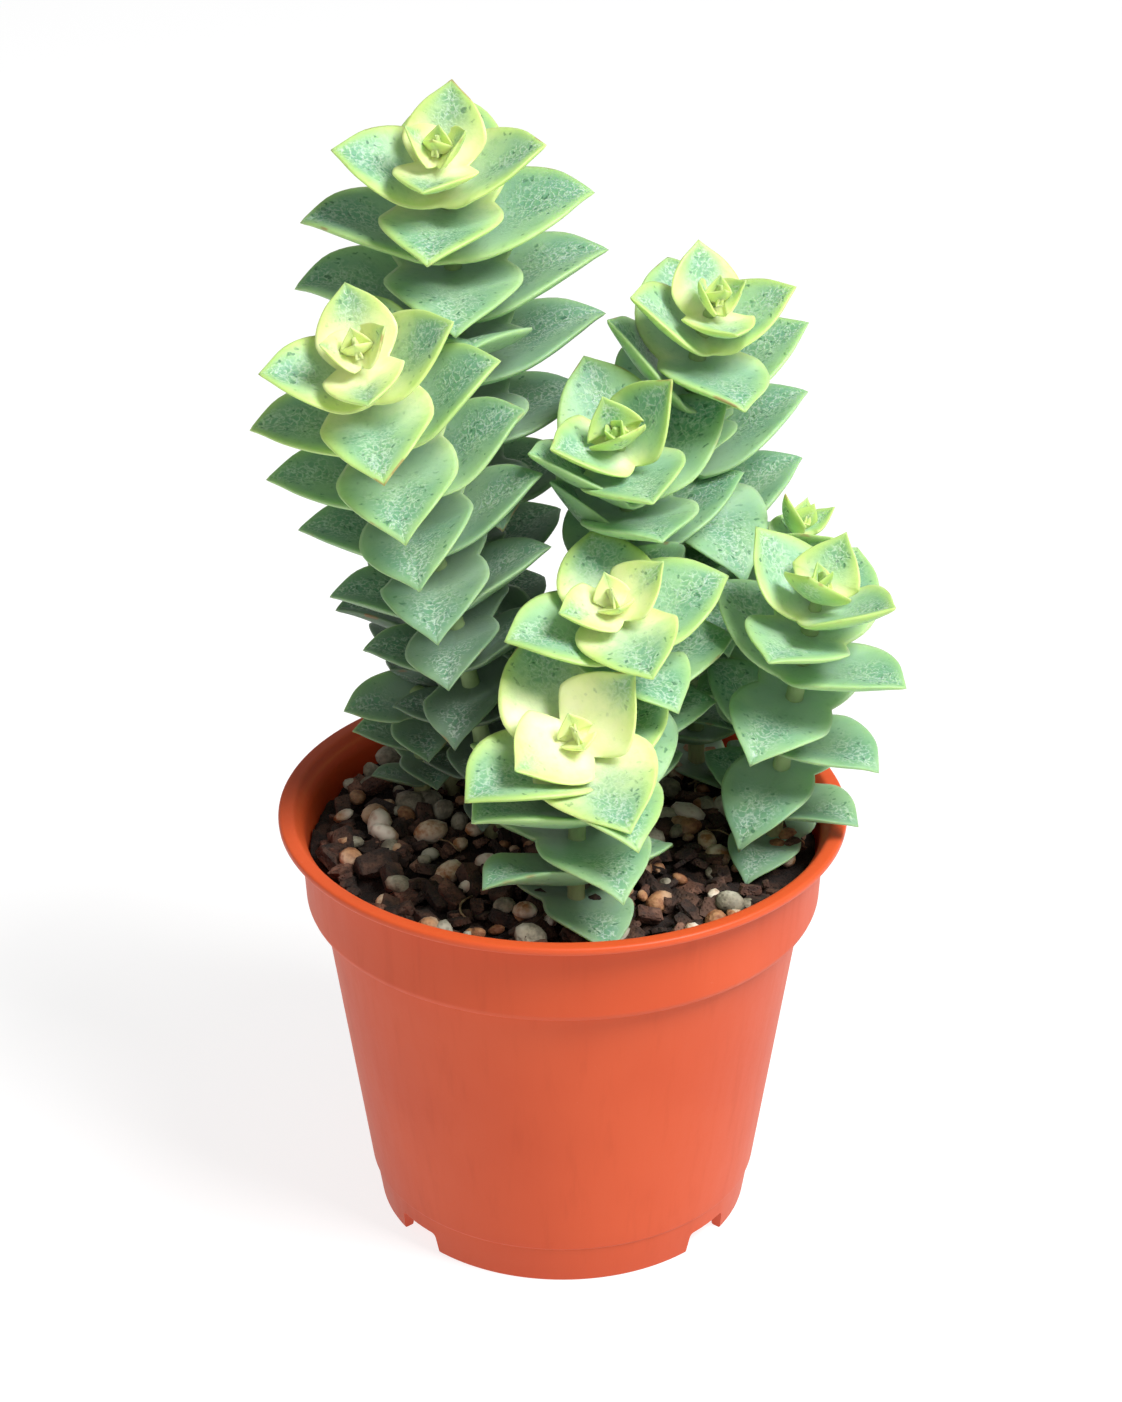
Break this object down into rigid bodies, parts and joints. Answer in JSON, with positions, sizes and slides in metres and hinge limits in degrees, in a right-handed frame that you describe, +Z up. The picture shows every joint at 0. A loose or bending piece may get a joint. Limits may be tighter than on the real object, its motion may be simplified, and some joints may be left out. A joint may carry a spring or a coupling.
{
  "type": "potted succulent",
  "caption": "Upright variegated string-of-buttons succulent: leafy shoots of stacked, pointed, stem-clasping leaves in a round tapered nursery pot filled with gritty soil.",
  "frame": {"origin": "centre of the pot's foot, on the plane the pot stands on", "axes": "+Z up; -Y is the front, towards the viewer; +X to the viewer's right"},
  "size_m": [0.0975, 0.09, 0.184],
  "materials": {
    "pot_plastic": "thin injection-moulded plastic in terracotta orange, satin, with a slightly brighter rolled lip",
    "gritty_soil": "damp dark peat and bark chips with rounded cream, tan and grey grit",
    "leaf": "fleshy waxy leaf, yellow-green to blue-green with lime margins and dark green dots"
  },
  "bodies": {
    "root": {"pot": "pot_plastic", "soil": "gritty_soil", "shoot_front_low": "leaf", "shoot_centre_low": "leaf", "shoot_front_left": "leaf", "shoot_back_left": "leaf", "shoot_middle": "leaf", "shoot_right": "leaf", "shoot_back_right": "leaf", "shoot_back_low": "leaf", "shoot_left_low": "leaf"}
  },
  "joints": []
}
